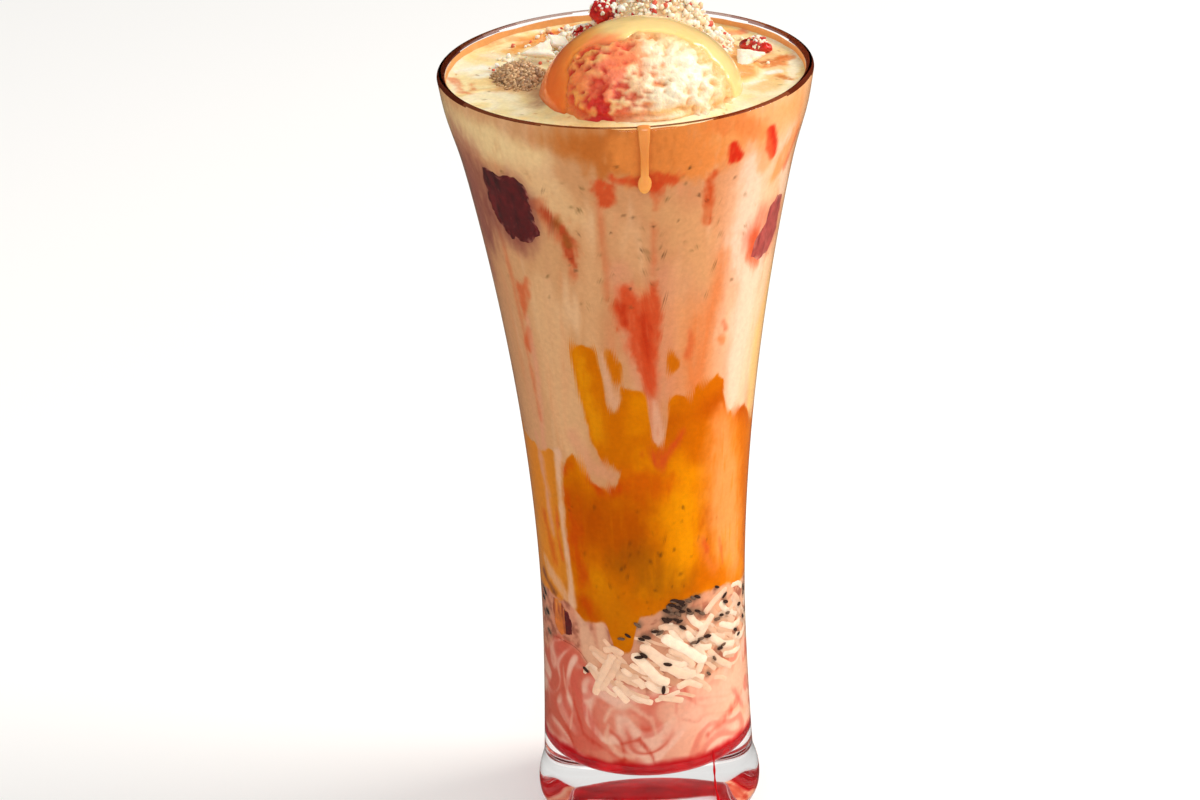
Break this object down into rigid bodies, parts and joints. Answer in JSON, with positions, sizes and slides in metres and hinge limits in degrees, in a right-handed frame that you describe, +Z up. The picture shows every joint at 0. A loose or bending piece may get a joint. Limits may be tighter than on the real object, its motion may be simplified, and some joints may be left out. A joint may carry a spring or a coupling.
{
  "type": "falooda dessert drink in a tall glass",
  "caption": "Layered falooda in a tall flared glass: rose milk, noodles, mango and cream, topped with a scoop of ice cream and nuts.",
  "frame": {"origin": "middle of the glass's flat base, on the surface that it stands on", "axes": "+Z up along the glass's axis; -Y is the side that faces the viewer; +X is the viewer's right"},
  "size_m": [0.0896, 0.0896, 0.2102],
  "materials": {
    "clear_glass": "clear smooth soda glass, polished rim",
    "rose_syrup": "wet clear red syrup",
    "rose_milk": "pink milk with red swirls, wet against the glass",
    "noodles": "soft cream noodles and black soaked seeds",
    "mango": "thick mango puree, wet against the glass",
    "cream": "thick sweet milk with red and orange streaks",
    "ice_cream": "craggy ice cream under a caramel glaze",
    "crushed_nuts": "pale crushed nuts",
    "soaked_seeds": "grey soaked seeds in jelly",
    "dark_fruit": "dark red soft fruit",
    "red_jelly": "glossy deep red jelly",
    "nut_flake": "pale sliced nut"
  },
  "bodies": {
    "root": {"glass": "clear_glass", "rose_syrup": "rose_syrup", "rose_milk": "rose_milk", "falooda_noodles": "noodles", "mango_layer": "mango", "cream_layer": "cream", "ice_cream_scoop": "ice_cream", "nut_heap": "crushed_nuts", "seed_clump": "soaked_seeds", "fruit_left": "dark_fruit", "fruit_right": "dark_fruit", "fruit_low": "dark_fruit", "candied_peel_1": "red_jelly", "candied_peel_2": "red_jelly", "jelly_piece": "red_jelly", "nut_chip_1": "nut_flake", "nut_chip_2": "nut_flake", "nut_chip_3": "nut_flake"}
  },
  "joints": []
}
